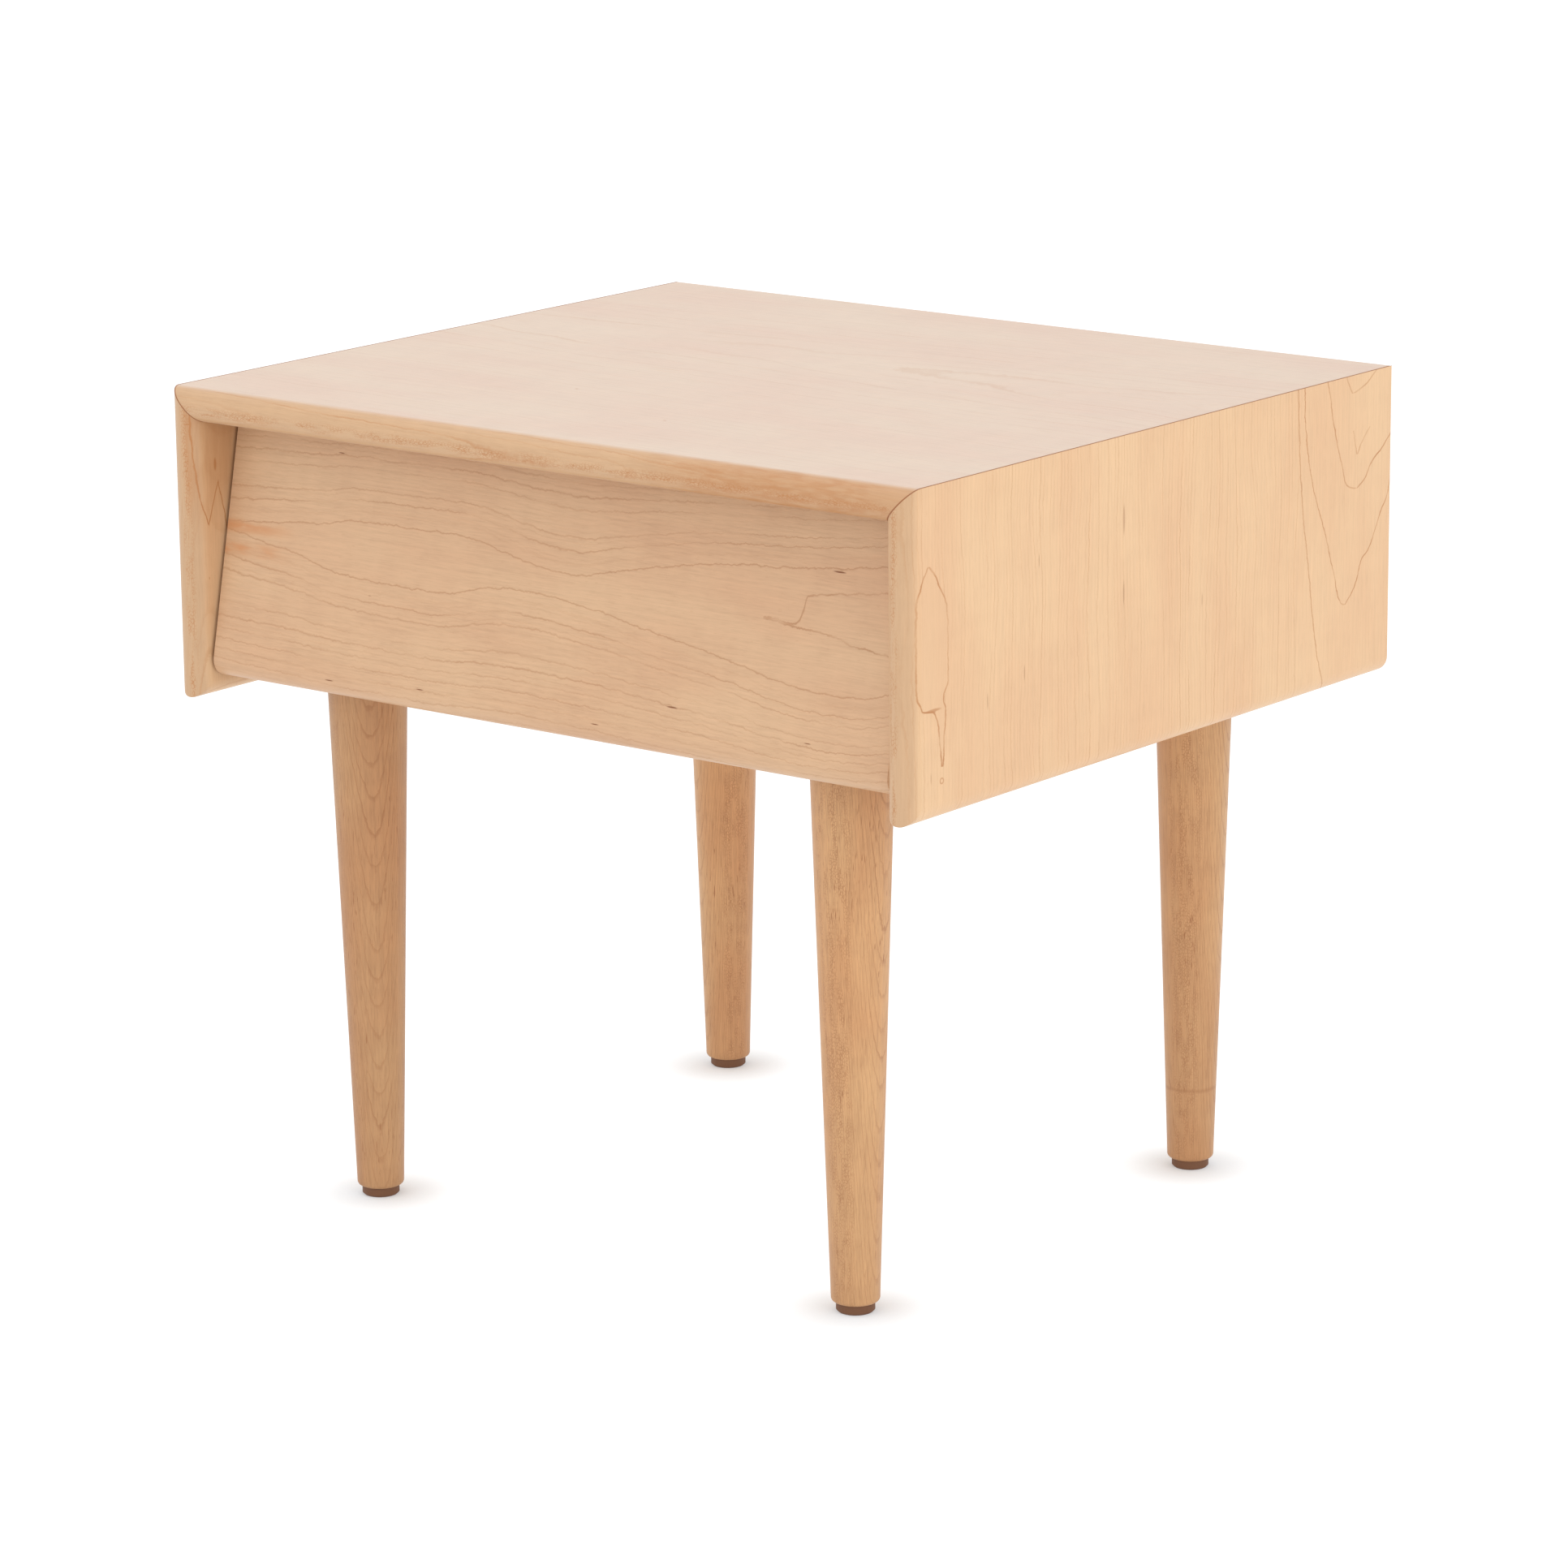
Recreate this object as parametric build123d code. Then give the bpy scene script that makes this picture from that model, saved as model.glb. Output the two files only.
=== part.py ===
from build123d import *
import os
from math import cos, radians, sin, tan

# A mid-century side table in solid maple: a mitred waterfall case on four turned legs, with one
# slanted-front drawer on three-member undermount slides.
# Frame: X is the width, -Y the front, +Z up. The origin is on the floor, under the middle.
# All sizes are in millimetres. Each size is set once, here, and everything else follows.

# Case
overall_width = 560.0
overall_depth = 485.0
overall_height = 508.0
case_height = 190.5  # from the table top down to the side panels' lower edge
board = 20.6  # top and side panels
nose_radius = 9.8  # round-over on both faces of each front and lower edge
case_ease = 1.2  # round-over along the case's mitred edges and its rear edges
edge_ease = 0.8  # light break on the other exposed edges
nose_limit = 0.48  # largest round-over, as a share of the board it is on
spline_thickness = 4.0
spline_width = 13.0
spline_stop = 30.0  # how far each mitre spline stops short of the board's front and back
back_thickness = 12.0
back_rabbet = 8.0
bottom_thickness = 19.0
bottom_dado = 6.0
bottom_rise = 30.5  # bottom panel's underside above the side panels' lower edge

# Drawer front
front_board = 20.6
front_slant = 11.4  # degrees from upright, the top leaning back
front_setback = 8.0  # foremost point of the drawer front behind the case's front
front_rise = 13.0  # lowest point of the drawer front above the side panels' lower edge
front_top_gap = 3.0
front_end_gap = 1.8
front_rear_gap = 2.5  # between the drawer front and the bottom panel

# Drawer box
box_board = 15.0
box_top_gap = 12.4  # under the table top
box_rear_gap = 16.0  # in front of the back panel
box_dado = 6.0  # how far the box front and the drawer bottom sit in the sides
drawer_bottom_thickness = 6.0
drawer_bottom_recess = 12.7  # from the sides' lower edge up to the drawer bottom
tail_count = 4
tail_root = 11.0  # height of each dovetail where it leaves the side
tail_tip = 15.0  # height of each dovetail at the rear face
front_screw_spread = 143.0  # front screws from the middle
front_screw_rise = 39.0  # lower front screws above the box's lower edge
front_screw_drop = 18.5  # upper front screws below the box's upper edge
back_screw_spread = 179.0  # outer back screws from the middle

# Undermount slides
slide_reach = 21.0  # from the case's side to the inside of the drawer
slide_sheet = 1.5
slide_space = 1.5  # free space between one rail and the next
slide_bearing_clearance = 0.2
post_offset = 8.0  # from the inside of the drawer to the fixed rail's post
post_width = 9.0
post_height = 12.0
slide_flange_height = 32.0
slide_lip = 6.0
slide_front_gap = 5.0  # slides start this far behind the box front
slide_rear_gap = 22.0  # between the fixed rail and the back panel
stop_gap = 0.3  # between the middle rail and the fixed rail's rear stop
stop_setback = 8.0  # rear stop in front of the fixed rail's end
middle_rail_lead = 2.0  # the middle rail starts this far behind the fixed rail's front
rail_floor_gap = 2.0  # between the moving rails' edges and the fixed rail's web
pad_length = 60.0
pad_pitch = 76.0  # distance between one pad and the next
rail_screw_rise = 22.4  # rail screws above the bottom panel
rail_screw_end = 39.0  # outer rail screws from the fixed rail's ends
hook_height = 14.0
hook_pin_radius = 2.5
hook_pin_length = 8.0

# Front locking clips
clip_width = 22.0
clip_length = 40.0
clip_height = 9.0
clip_gap = 1.0  # between the clip's body and the drawer rail
clip_tongue_length = 8.0
clip_tongue_height = 4.0
clip_tongue_lead = 8.0
clip_tongue_shy = 0.2  # the tongue stops short of the rail wall's inner side
clip_lever = 8.0  # width of the finger lever, and how far it stands out
clip_lever_thickness = 3.0
clip_lever_setback = 4.0  # behind the clip's front end
clip_corner = 2.0
clip_screws_from_front = (20.0, 34.0)

# Legs
leg_side_inset = 94.0  # leg axis from the case's outer side face
leg_front_inset = 68.0
leg_rear_inset = 72.0
leg_top_diameter = 50.0
leg_foot_diameter = 28.8
foot_round = 2.8
plate_size = 58.0
plate_thickness = 2.5
plate_corner = 6.0
plate_screw_inset = 7.5
bolt_radius = 4.0
bolt_in_leg = 32.0
bolt_in_case = 10.0
bolt_clearance = 1.5
bolt_chamfer = 1.0
glide_diameter = 23.0
glide_height = 6.0
glide_chamfer = 1.2
glide_recess = 1.5  # from the floor up to the glide screw's head

# Screws: shank radius, head radius, length under the head's face, head height
plate_screw = (1.9, 3.8, 15.0, 2.4)
rail_screw = (1.9, 3.4, 13.0, 1.4)
front_screw = (2.1, 4.6, 27.0, 2.0)
clip_screw = (1.3, 2.6, 13.0, 1.6)
back_screw = (1.3, 2.6, 14.0, 1.8)
glide_screw = (1.6, 3.2, 18.0, 2.2)
hole_slack = 0.4  # around a screw or pin where it passes freely
screw_point_share = 2.0  # length of the tapered point, in shank radii
screw_tip_share = 0.25  # radius at the very tip, in shank radii
head_round_share = 0.45  # round-over of a pan head, as a share of its height
recess_share = 0.55  # depth of the cross recess, as a share of the head
recess_width_share = 0.28  # width of one arm of the cross, as a share of the head's radius
recess_length_share = 1.15  # length of one arm, in head radii

# Levels and planes that follow from the sizes above
right_face = overall_width / 2
inner_face = right_face - board
front_plane = -overall_depth / 2
rear_plane = overall_depth / 2
case_bottom = overall_height - case_height
top_underside = overall_height - board
bottom_underside = case_bottom + bottom_rise
bottom_top = bottom_underside + bottom_thickness
back_inner = rear_plane - back_thickness
lean = radians(front_slant)
front_low = case_bottom + front_rise
front_round = front_board / 2
front_centre_y = front_plane + front_setback + front_round
front_centre_z = front_low + front_round
front_top = top_underside - front_top_gap
leg_x = right_face - leg_side_inset
leg_rows = {"front": front_plane + leg_front_inset, "rear": rear_plane - leg_rear_inset}
leg_columns = {"left": -leg_x, "right": leg_x}
leg_top = bottom_underside - plate_thickness
box_outer = inner_face - slide_reach + box_board
box_inner = inner_face - slide_reach
post_top = bottom_top + post_height
middle_top = post_top + slide_space + slide_sheet
drawer_bottom_low = middle_top + slide_space + slide_sheet
drawer_bottom_high = drawer_bottom_low + drawer_bottom_thickness
box_low = drawer_bottom_low - drawer_bottom_recess
box_high = top_underside - box_top_gap
box_rear = back_inner - box_rear_gap

# Slides: offsets from the case's inner side, and places along the depth
post_near = slide_reach + post_offset
post_far = post_near + post_width
step = slide_space + slide_sheet
web_top = bottom_top + slide_sheet
rail_foot = web_top + rail_floor_gap
fixed_rear = back_inner - slide_rear_gap
stop_front = fixed_rear - stop_setback
middle_rear = stop_front - stop_gap
drawer_rail_near = post_near - 2 * step
drawer_rail_far = post_far + 2 * step


def slanted_y(offset, z):
    """Y of the plane that lies this far behind the drawer front's face, at height z."""
    foot = front_centre_y + (offset - front_round) / cos(lean)
    return foot + (z - front_centre_z) * tan(lean)


slide_front = slanted_y(front_board + box_board, drawer_bottom_low) + slide_front_gap
middle_front = slide_front + middle_rail_lead


def block(x0, x1, y0, y1, z0, z1):
    """A box between two corners."""
    centre = Pos((x0 + x1) / 2, (y0 + y1) / 2, (z0 + z1) / 2)
    return centre * Box(x1 - x0, y1 - y0, z1 - z0)


def prism_along_x(points, x0, x1):
    """An outline of (y, z) points, pulled from x0 to x1."""
    face = make_face(Plane.YZ * Polyline(*points, close=True))
    return Pos(x0, 0, 0) * extrude(face, x1 - x0, dir=(1, 0, 0))


def prism_along_y(points, y0, y1):
    """An outline of (x, z) points, pulled from y0 to y1."""
    face = make_face(Plane.XZ * Polyline(*points, close=True))
    return Pos(0, y0, 0) * extrude(face, y1 - y0, dir=(0, 1, 0))


def only_solid(shape):
    """The one solid that a cut or an overlap leaves."""
    return shape.solids().sort_by(SortBy.VOLUME)[-1]


def both_sides(right):
    """A right-hand piece and its mirror image."""
    return {"right": right, "left": right.mirror(Plane.YZ)}


def nosed_board(plane, length, thickness, width):
    """A board whose section starts at a rounded nose; length and thickness lie in the plane."""
    outline = Pos(length / 2, thickness / 2) * Rectangle(length, thickness)
    nose = outline.vertices().group_by(Axis.X)[0]
    radius = min(nose_radius, nose_limit * thickness)
    return extrude(plane * fillet(nose, radius), width)


def cross_screw(sizes, countersunk):
    """A screw that points down -Z, its head's seat at the origin, with a cross recess on top."""
    shank, head, length, height = sizes
    point = screw_point_share * shank
    body = Pos(0, 0, -(length - point) / 2) * Cylinder(shank, length - point)
    tip = Pos(0, 0, -length + point / 2) * Cone(screw_tip_share * shank, shank, point)
    if countersunk:
        cap = Pos(0, 0, -height / 2) * Cone(shank, head, height)
        face = 0.0
    else:
        cap = Pos(0, 0, height / 2) * Cylinder(head, height)
        cap = fillet(cap.edges().group_by(Axis.Z)[-1], head_round_share * height)
        face = height
    screw = body + tip + cap
    depth = recess_share * height
    arm = Box(recess_length_share * head, recess_width_share * head, 2 * depth)
    cross = Pos(0, 0, face) * (arm + Rot(0, 0, 90) * arm)
    return only_solid(screw - cross)


def countersink(sizes):
    """The hole that a countersunk screw fills, pointing down -Z from its head's face."""
    shank, head, length, height = sizes
    through = Pos(0, 0, -length / 2) * Cylinder(shank, length)
    return through + Pos(0, 0, -height / 2) * Cone(shank, head, height)


def pilot(sizes):
    """The hole that a screw's shank fills, pointing down -Z."""
    return Pos(0, 0, -sizes[2] / 2) * Cylinder(sizes[0], sizes[2])


def free_hole(sizes):
    """A hole that a screw's shank passes with slack, pointing down -Z."""
    return Pos(0, 0, -sizes[2] / 2) * Cylinder(sizes[0] + hole_slack, sizes[2] + hole_slack)


def place_all(shape, places):
    """One copy of a shape at each place."""
    return [place * shape for place in places]


def cut_all(shape, tools):
    """The shape with every tool cut from it."""
    for tool in tools:
        shape = shape - tool
    return shape


# Case


def case_outside():
    """The space inside the case's outer faces, its long upper edges and its rear edges eased."""
    outside = block(-right_face, right_face, front_plane, rear_plane, case_bottom, overall_height)
    upper = outside.edges().filter_by(Axis.Y).group_by(Axis.Z)[-1]
    rear = outside.faces().sort_by(Axis.Y)[-1].edges()
    return fillet(upper + rear, case_ease)


def mitre_spline():
    """The right-hand mitre spline: a thin strip square across the mitre."""
    strip = Box(spline_width, overall_depth - 2 * spline_stop, spline_thickness)
    return only_solid(Pos(right_face - board / 2, 0, overall_height - board / 2) * Rot(0, 45, 0) * strip)


def top_panel():
    plane = Plane((-right_face, front_plane, top_underside), x_dir=(0, 1, 0), z_dir=(1, 0, 0))
    slab = nosed_board(plane, overall_depth, board, overall_width)
    corners = [(-right_face, overall_height), (right_face, overall_height)]
    corners += [(inner_face, top_underside), (-inner_face, top_underside)]
    slab = slab & prism_along_y(corners, front_plane, rear_plane) & case_outside()
    return only_solid(cut_all(slab, both_sides(mitre_spline()).values()) - back_panel())


def side_panel():
    """The right side panel, with its dado, rabbet, spline slot and pilot holes."""
    upright = Plane((right_face, front_plane, case_bottom), x_dir=(0, 1, 0), z_dir=(0, 0, 1))
    slab = nosed_board(upright, overall_depth, board, case_height)
    along = Plane((inner_face, front_plane, case_bottom), x_dir=(0, 0, 1), z_dir=(0, 1, 0))
    slab = slab & nosed_board(along, case_height, board, overall_depth)
    corners = [(inner_face, case_bottom), (right_face, case_bottom)]
    corners += [(right_face, overall_height), (inner_face, top_underside)]
    slab = slab & prism_along_y(corners, front_plane, rear_plane) & case_outside()
    slab = slab - bottom_panel() - back_panel() - mitre_spline()
    return only_solid(cut_all(slab, place_all(pilot(rail_screw), rail_screw_places())))


def back_panel():
    reach = inner_face + back_rabbet
    panel = block(-reach, reach, back_inner, rear_plane, front_low, top_underside + back_rabbet)
    lower = panel.edges().filter_by(Axis.X).group_by(Axis.Z)[0]
    return only_solid(fillet(lower, edge_ease))


def bottom_front_y():
    """Front edge of the bottom panel, clear of the slanted drawer front."""
    return slanted_y(front_board, bottom_top) + front_rear_gap


def bottom_panel():
    reach = inner_face + bottom_dado
    panel = block(-reach, reach, bottom_front_y(), back_inner, bottom_underside, bottom_top)
    front = panel.edges().filter_by(Axis.X).group_by(Axis.Y)[0]
    panel = fillet(front, edge_ease)
    for place in leg_places().values():
        bore = Cylinder(bolt_radius + bolt_clearance, 2 * bolt_in_case)
        panel = panel - Pos(place[0], place[1], bottom_underside) * bore
    return only_solid(cut_all(panel, place_all(pilot(plate_screw), plate_screw_places())))


# Legs


def leg_places():
    """The axis of each leg, as (x, y)."""
    places = {}
    for row, y in leg_rows.items():
        for column, x in leg_columns.items():
            places[f"{row}_{column}"] = (x, y)
    return places


def leg():
    """One turned leg standing on its glide, its axis on Z."""
    foot = leg_foot_diameter / 2
    top = leg_top_diameter / 2
    outline = Polyline((0, glide_height), (foot, glide_height), (top, leg_top), (0, leg_top), close=True)
    turned = revolve(make_face(Plane.XZ * outline), Axis.Z)
    turned = fillet(turned.edges().group_by(Axis.Z)[0], foot_round)
    turned = chamfer(turned.edges().group_by(Axis.Z)[-1], edge_ease)
    turned = turned - Pos(0, 0, leg_top - bolt_in_leg / 2) * Cylinder(bolt_radius, bolt_in_leg)
    screw_hole = Pos(0, 0, glide_recess) * Rot(180, 0, 0) * pilot(glide_screw)
    return only_solid(turned - screw_hole)


def leg_plate():
    """A steel plate that takes the leg's bolt, under the bottom panel."""
    plate = Pos(0, 0, leg_top + plate_thickness / 2) * Box(plate_size, plate_size, plate_thickness)
    plate = fillet(plate.edges().filter_by(Axis.Z), plate_corner)
    plate = plate - Pos(0, 0, leg_top) * Cylinder(bolt_radius, 4 * plate_thickness)
    hole = countersink(plate_screw)
    return only_solid(cut_all(plate, place_all(hole, plate_screw_pattern(leg_top))))


def plate_screw_pattern(seat):
    """Where one plate's four screws go, their points up, about the leg's axis."""
    offset = plate_size / 2 - plate_screw_inset
    corners = [(x, y) for x in (-offset, offset) for y in (-offset, offset)]
    return [Pos(x, y, seat) * Rot(180, 0, 0) for x, y in corners]


def plate_screw_places():
    places = []
    for x, y in leg_places().values():
        places += [Pos(x, y, 0) * spot for spot in plate_screw_pattern(leg_top)]
    return places


def hanger_bolt():
    """Half wood screw, half machine bolt, on Z."""
    low = leg_top - bolt_in_leg
    high = bottom_underside + bolt_in_case - bolt_clearance
    bolt = Pos(0, 0, (low + high) / 2) * Cylinder(bolt_radius, high - low)
    return only_solid(chamfer(bolt.edges().filter_by(GeomType.CIRCLE), bolt_chamfer))


def glide():
    """A round pad under a leg, with a recess for its screw."""
    pad = Pos(0, 0, glide_height / 2) * Cylinder(glide_diameter / 2, glide_height)
    pad = chamfer(pad.edges().group_by(Axis.Z)[0], glide_chamfer)
    pad = pad - Cylinder(glide_screw[1] + hole_slack, 2 * glide_recess)
    hole = Pos(0, 0, glide_recess) * Rot(180, 0, 0) * countersink(glide_screw)
    return only_solid(pad - hole)


# Drawer


def front_outline():
    """The drawer front's section in (y, z): a leaning board with a fully rounded lower edge."""
    normal = Vector(-cos(lean), sin(lean))
    down = Vector(-sin(lean), -cos(lean))
    centre = Vector(front_centre_y, front_centre_z)
    face_foot = centre + normal * front_round
    rear_foot = centre - normal * front_round
    tip = centre + down * front_round
    face_head = Vector(slanted_y(0, front_top), front_top)
    rear_head = Vector(slanted_y(front_board, front_top), front_top)
    straights = Polyline(face_foot, face_head, rear_head, rear_foot)
    return make_face(Plane.YZ * (straights + ThreePointArc(rear_foot, tip, face_foot)))


def drawer_front():
    reach = inner_face - front_end_gap
    front = Pos(-reach, 0, 0) * extrude(front_outline(), 2 * reach, dir=(1, 0, 0))
    ends = front.faces().sort_by(Axis.X)
    front = chamfer(ends[0].edges() + ends[-1].edges(), edge_ease)
    return only_solid(cut_all(front, place_all(pilot(front_screw), front_screw_places())))


def slanted_board(offset, thickness, reach, low, high):
    """A board parallel to the drawer front, cut level at its lower and upper edges."""
    points = [(slanted_y(offset, low), low), (slanted_y(offset + thickness, low), low)]
    points += [(slanted_y(offset + thickness, high), high), (slanted_y(offset, high), high)]
    return prism_along_x(points, -reach, reach)


def box_front():
    """The drawer box's own front, housed in the sides, behind the drawer front."""
    board_shape = slanted_board(front_board, box_board, box_inner + box_dado, box_low, box_high)
    board_shape = board_shape - drawer_bottom()
    return only_solid(cut_all(board_shape, place_all(free_hole(front_screw), front_screw_places())))


def front_screw_places():
    """Four screws from inside the box, square to the slanted boards."""
    places = []
    for x in (-front_screw_spread, front_screw_spread):
        for z in (box_low + front_screw_rise, box_high - front_screw_drop):
            y = slanted_y(front_board + box_board, z)
            places.append(Pos(x, y, z) * Rot(-90 - front_slant, 0, 0))
    return places


def tails():
    """The tapered tails at the rear end of the right side."""
    foot = drawer_bottom_high
    pitch = (box_high - foot) / tail_count
    shapes = []
    for index in range(tail_count):
        z = foot + (index + 0.5) * pitch
        root = tail_root / 2
        tip = tail_tip / 2
        points = [(box_rear - box_board, z - root), (box_rear, z - tip)]
        points += [(box_rear, z + tip), (box_rear - box_board, z + root)]
        shapes.append(prism_along_x(points, box_inner, box_outer))
    return shapes


def drawer_back():
    """The back, standing on the drawer bottom, with the sockets for the sides' tails."""
    back = block(-box_outer, box_outer, box_rear - box_board, box_rear, drawer_bottom_high, box_high)
    for tail in tails():
        back = cut_all(back, both_sides(tail).values())
    for pin in both_sides(hook_pin(hole_slack)).values():
        back = back - pin
    return only_solid(cut_all(back, place_all(pilot(back_screw), back_screw_places())))


def drawer_side():
    """The right side of the drawer box."""
    points = [(slanted_y(front_board, box_low), box_low), (box_rear, box_low)]
    points += [(box_rear, box_high), (slanted_y(front_board, box_high), box_high)]
    side = prism_along_x(points, box_inner, box_outer)
    side = side - slanted_board(front_board, box_board, box_inner + box_dado, box_low, box_high)
    return only_solid(side - drawer_bottom() - drawer_back())


def drawer_bottom():
    front = slanted_y(front_board + box_board, drawer_bottom_low) - box_dado
    reach = box_inner + box_dado
    sheet = block(-reach, reach, front, box_rear, drawer_bottom_low, drawer_bottom_high)
    sheet = cut_all(sheet, place_all(countersink(back_screw), back_screw_places()))
    return only_solid(cut_all(sheet, mirrored_group(place_all(pilot(clip_screw), clip_screw_places()))))


def back_screw_places():
    """Screws up through the drawer bottom into the back."""
    y = box_rear - box_board / 2
    spots = (-back_screw_spread, 0, back_screw_spread)
    return [Pos(x, y, drawer_bottom_low) * Rot(180, 0, 0) for x in spots]


# Undermount slides, drawn on the right; offsets run inwards from the case's side


def inboard(near, deep, y0, y1, z0, z1):
    """A box between two offsets from the case's right inner face."""
    return block(inner_face - deep, inner_face - near, y0, y1, z0, z1)


def channel(near, deep, y0, y1, z0, z1, sheet):
    """An upside-down U of sheet metal, open below."""
    outer = inboard(near, deep, y0, y1, z0, z1)
    return outer - inboard(near + sheet, deep - sheet, y0, y1, z0 - sheet, z1 - sheet)


def fixed_rail():
    """Screwed to the case: a flange on the wall, a web under the drawer side and a hollow post."""
    rail = inboard(0, slide_sheet, slide_front, fixed_rear, bottom_top, bottom_top + slide_flange_height)
    rail = rail + inboard(0, post_near + slide_sheet, slide_front, fixed_rear, bottom_top, web_top)
    rail = rail + channel(post_near, post_far, slide_front, fixed_rear, bottom_top, post_top, slide_sheet)
    lip = post_far + slide_lip
    rail = rail + inboard(post_far - slide_sheet, lip, slide_front, fixed_rear, bottom_top, web_top)
    stop_rear = stop_front + slide_sheet
    rail = rail + inboard(post_near - step, post_far + step, stop_front, stop_rear, web_top, middle_top)
    return only_solid(cut_all(rail, place_all(free_hole(rail_screw), rail_screw_places())))


def rail_screw_places():
    """Three screws through the fixed rail's flange into the right side panel."""
    x = inner_face - slide_sheet
    z = bottom_top + rail_screw_rise
    spots = (slide_front + rail_screw_end, (slide_front + fixed_rear) / 2, fixed_rear - rail_screw_end)
    return [Pos(x, y, z) * Rot(0, -90, 0) for y in spots]


def middle_rail():
    near = post_near - step
    deep = post_far + step
    return only_solid(channel(near, deep, middle_front, middle_rear, rail_foot, middle_top, slide_sheet))


def slide_pads():
    """Nylon pads on the middle rail: two over the fixed post, two under the drawer rail."""
    thick = slide_space - slide_bearing_clearance
    low = rail_foot + rail_floor_gap
    pads = []
    for shift in (0, pad_pitch):
        rear = middle_rear - shift
        pads.append(channel(post_near - slide_space, post_far + slide_space, rear - pad_length, rear,
                            low, middle_top - slide_sheet, thick))
    for shift in (0, pad_pitch):
        front = middle_front + shift
        pads.append(channel(post_near - step - thick, post_far + step + thick, front, front + pad_length,
                            low, middle_top + thick, thick))
    return pads


def drawer_rail():
    """Carries the drawer bottom; its rear tab hooks into the drawer's back."""
    near = drawer_rail_near
    deep = drawer_rail_far
    rail = channel(near, deep, slide_front, box_rear, rail_foot, drawer_bottom_low, slide_sheet)
    tab_low = drawer_bottom_low - slide_sheet
    tab_top = drawer_bottom_low + hook_height + 2 * hook_pin_radius
    rail = rail + inboard(near, deep, box_rear, box_rear + slide_sheet, tab_low, tab_top)
    return only_solid(rail + hook_pin(0) - clip_tongue(hole_slack))


def hook_pin(slack):
    """The pin on the drawer rail's tab, or its hole in the drawer's back."""
    x = inner_face - (post_near + post_far) / 2
    length = hook_pin_length + slack
    pin = Pos(0, -length / 2, 0) * Rot(90, 0, 0) * Cylinder(hook_pin_radius + slack, length)
    return Pos(x, box_rear, drawer_bottom_low + hook_height) * pin


def clip_tongue(slack):
    """The tongue that locks a front clip into the drawer rail, or its slot."""
    wall = drawer_rail_far
    near = wall - slide_sheet + (clip_tongue_shy if slack == 0 else -slack)
    y = slide_front + clip_tongue_lead
    z = drawer_bottom_low - clip_height / 2
    half = clip_tongue_height / 2 + slack
    return inboard(near, wall + clip_gap, y - slack, y + clip_tongue_length + slack, z - half, z + half)


def front_clip():
    """The plastic clip under the drawer that locks it to its rail, with a finger lever."""
    near = drawer_rail_far + clip_gap
    deep = near + clip_width
    low = drawer_bottom_low - clip_height
    body = inboard(near, deep, slide_front, slide_front + clip_length, low, drawer_bottom_low)
    body = fillet(body.edges().filter_by(Axis.Z), clip_corner)
    front = slide_front + clip_lever_setback
    lever = inboard(deep - clip_lever, deep + clip_lever, front, front + clip_lever, low,
                    low + clip_lever_thickness)
    clip = body + lever + clip_tongue(0)
    return only_solid(cut_all(clip, place_all(pilot(clip_screw), clip_screw_places())))


def clip_screw_places():
    """Two screws up through the right clip into the drawer bottom."""
    x = inner_face - (drawer_rail_far + clip_gap + clip_width / 2)
    z = drawer_bottom_low - clip_height
    return [Pos(x, slide_front + y, z) * Rot(180, 0, 0) for y in clip_screws_from_front]


# The assembly


def mirrored_group(shapes):
    """The shapes on the right with their mirror images on the left."""
    pairs = [both_sides(shape) for shape in shapes]
    return [pair[side] for side in ("right", "left") for pair in pairs]


def make_nodes():
    """Every node by name, as a list of its solids."""
    nodes = {"top_panel": [top_panel()], "back_panel": [back_panel()], "bottom_panel": [bottom_panel()]}
    pairs = {
        "side_panel": [side_panel()],
        "mitre_spline": [mitre_spline()],
        "fixed_rail": [fixed_rail()],
        "middle_rail": [middle_rail()],
        "slide_pads": slide_pads(),
        "drawer_rail": [drawer_rail()],
        "front_clip": [front_clip()],
        "drawer_side": [drawer_side()],
    }
    for name, shapes in pairs.items():
        nodes[f"right_{name}"] = shapes
        nodes[f"left_{name}"] = [shape.mirror(Plane.YZ) for shape in shapes]
    for name, (x, y) in leg_places().items():
        nodes[f"{name}_leg"] = [Pos(x, y, 0) * leg()]
        nodes[f"{name}_leg_plate"] = [Pos(x, y, 0) * leg_plate()]
        nodes[f"{name}_glide"] = [Pos(x, y, 0) * glide()]
    axes = [Pos(x, y, 0) for x, y in leg_places().values()]
    seats = [axis * Pos(0, 0, glide_recess) * Rot(180, 0, 0) for axis in axes]
    nodes["hanger_bolts"] = place_all(hanger_bolt(), axes)
    nodes["plate_screws"] = place_all(cross_screw(plate_screw, True), plate_screw_places())
    nodes["glide_screws"] = place_all(cross_screw(glide_screw, True), seats)
    nodes["rail_screws"] = mirrored_group(place_all(cross_screw(rail_screw, False), rail_screw_places()))
    nodes["drawer_front"] = [drawer_front()]
    nodes["drawer_box_front"] = [box_front()]
    nodes["drawer_back"] = [drawer_back()]
    nodes["drawer_bottom"] = [drawer_bottom()]
    nodes["front_screws"] = place_all(cross_screw(front_screw, False), front_screw_places())
    nodes["back_screws"] = place_all(cross_screw(back_screw, True), back_screw_places())
    nodes["clip_screws"] = mirrored_group(place_all(cross_screw(clip_screw, False), clip_screw_places()))
    return nodes


os.makedirs("parts", exist_ok=True)
for node, solids in make_nodes().items():
    whole = solids[0] if len(solids) == 1 else Compound(children=solids)
    export_step(whole, f"parts/{node}.step")
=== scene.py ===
"""Finishes a maple side table with one drawer, and lights it in a white studio.

Laid out as an add-on and run as a script. Every length is in metres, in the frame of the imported
model: X is the width, -Y the front, +Z up, and the origin is on the floor under the middle.
"""

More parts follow.
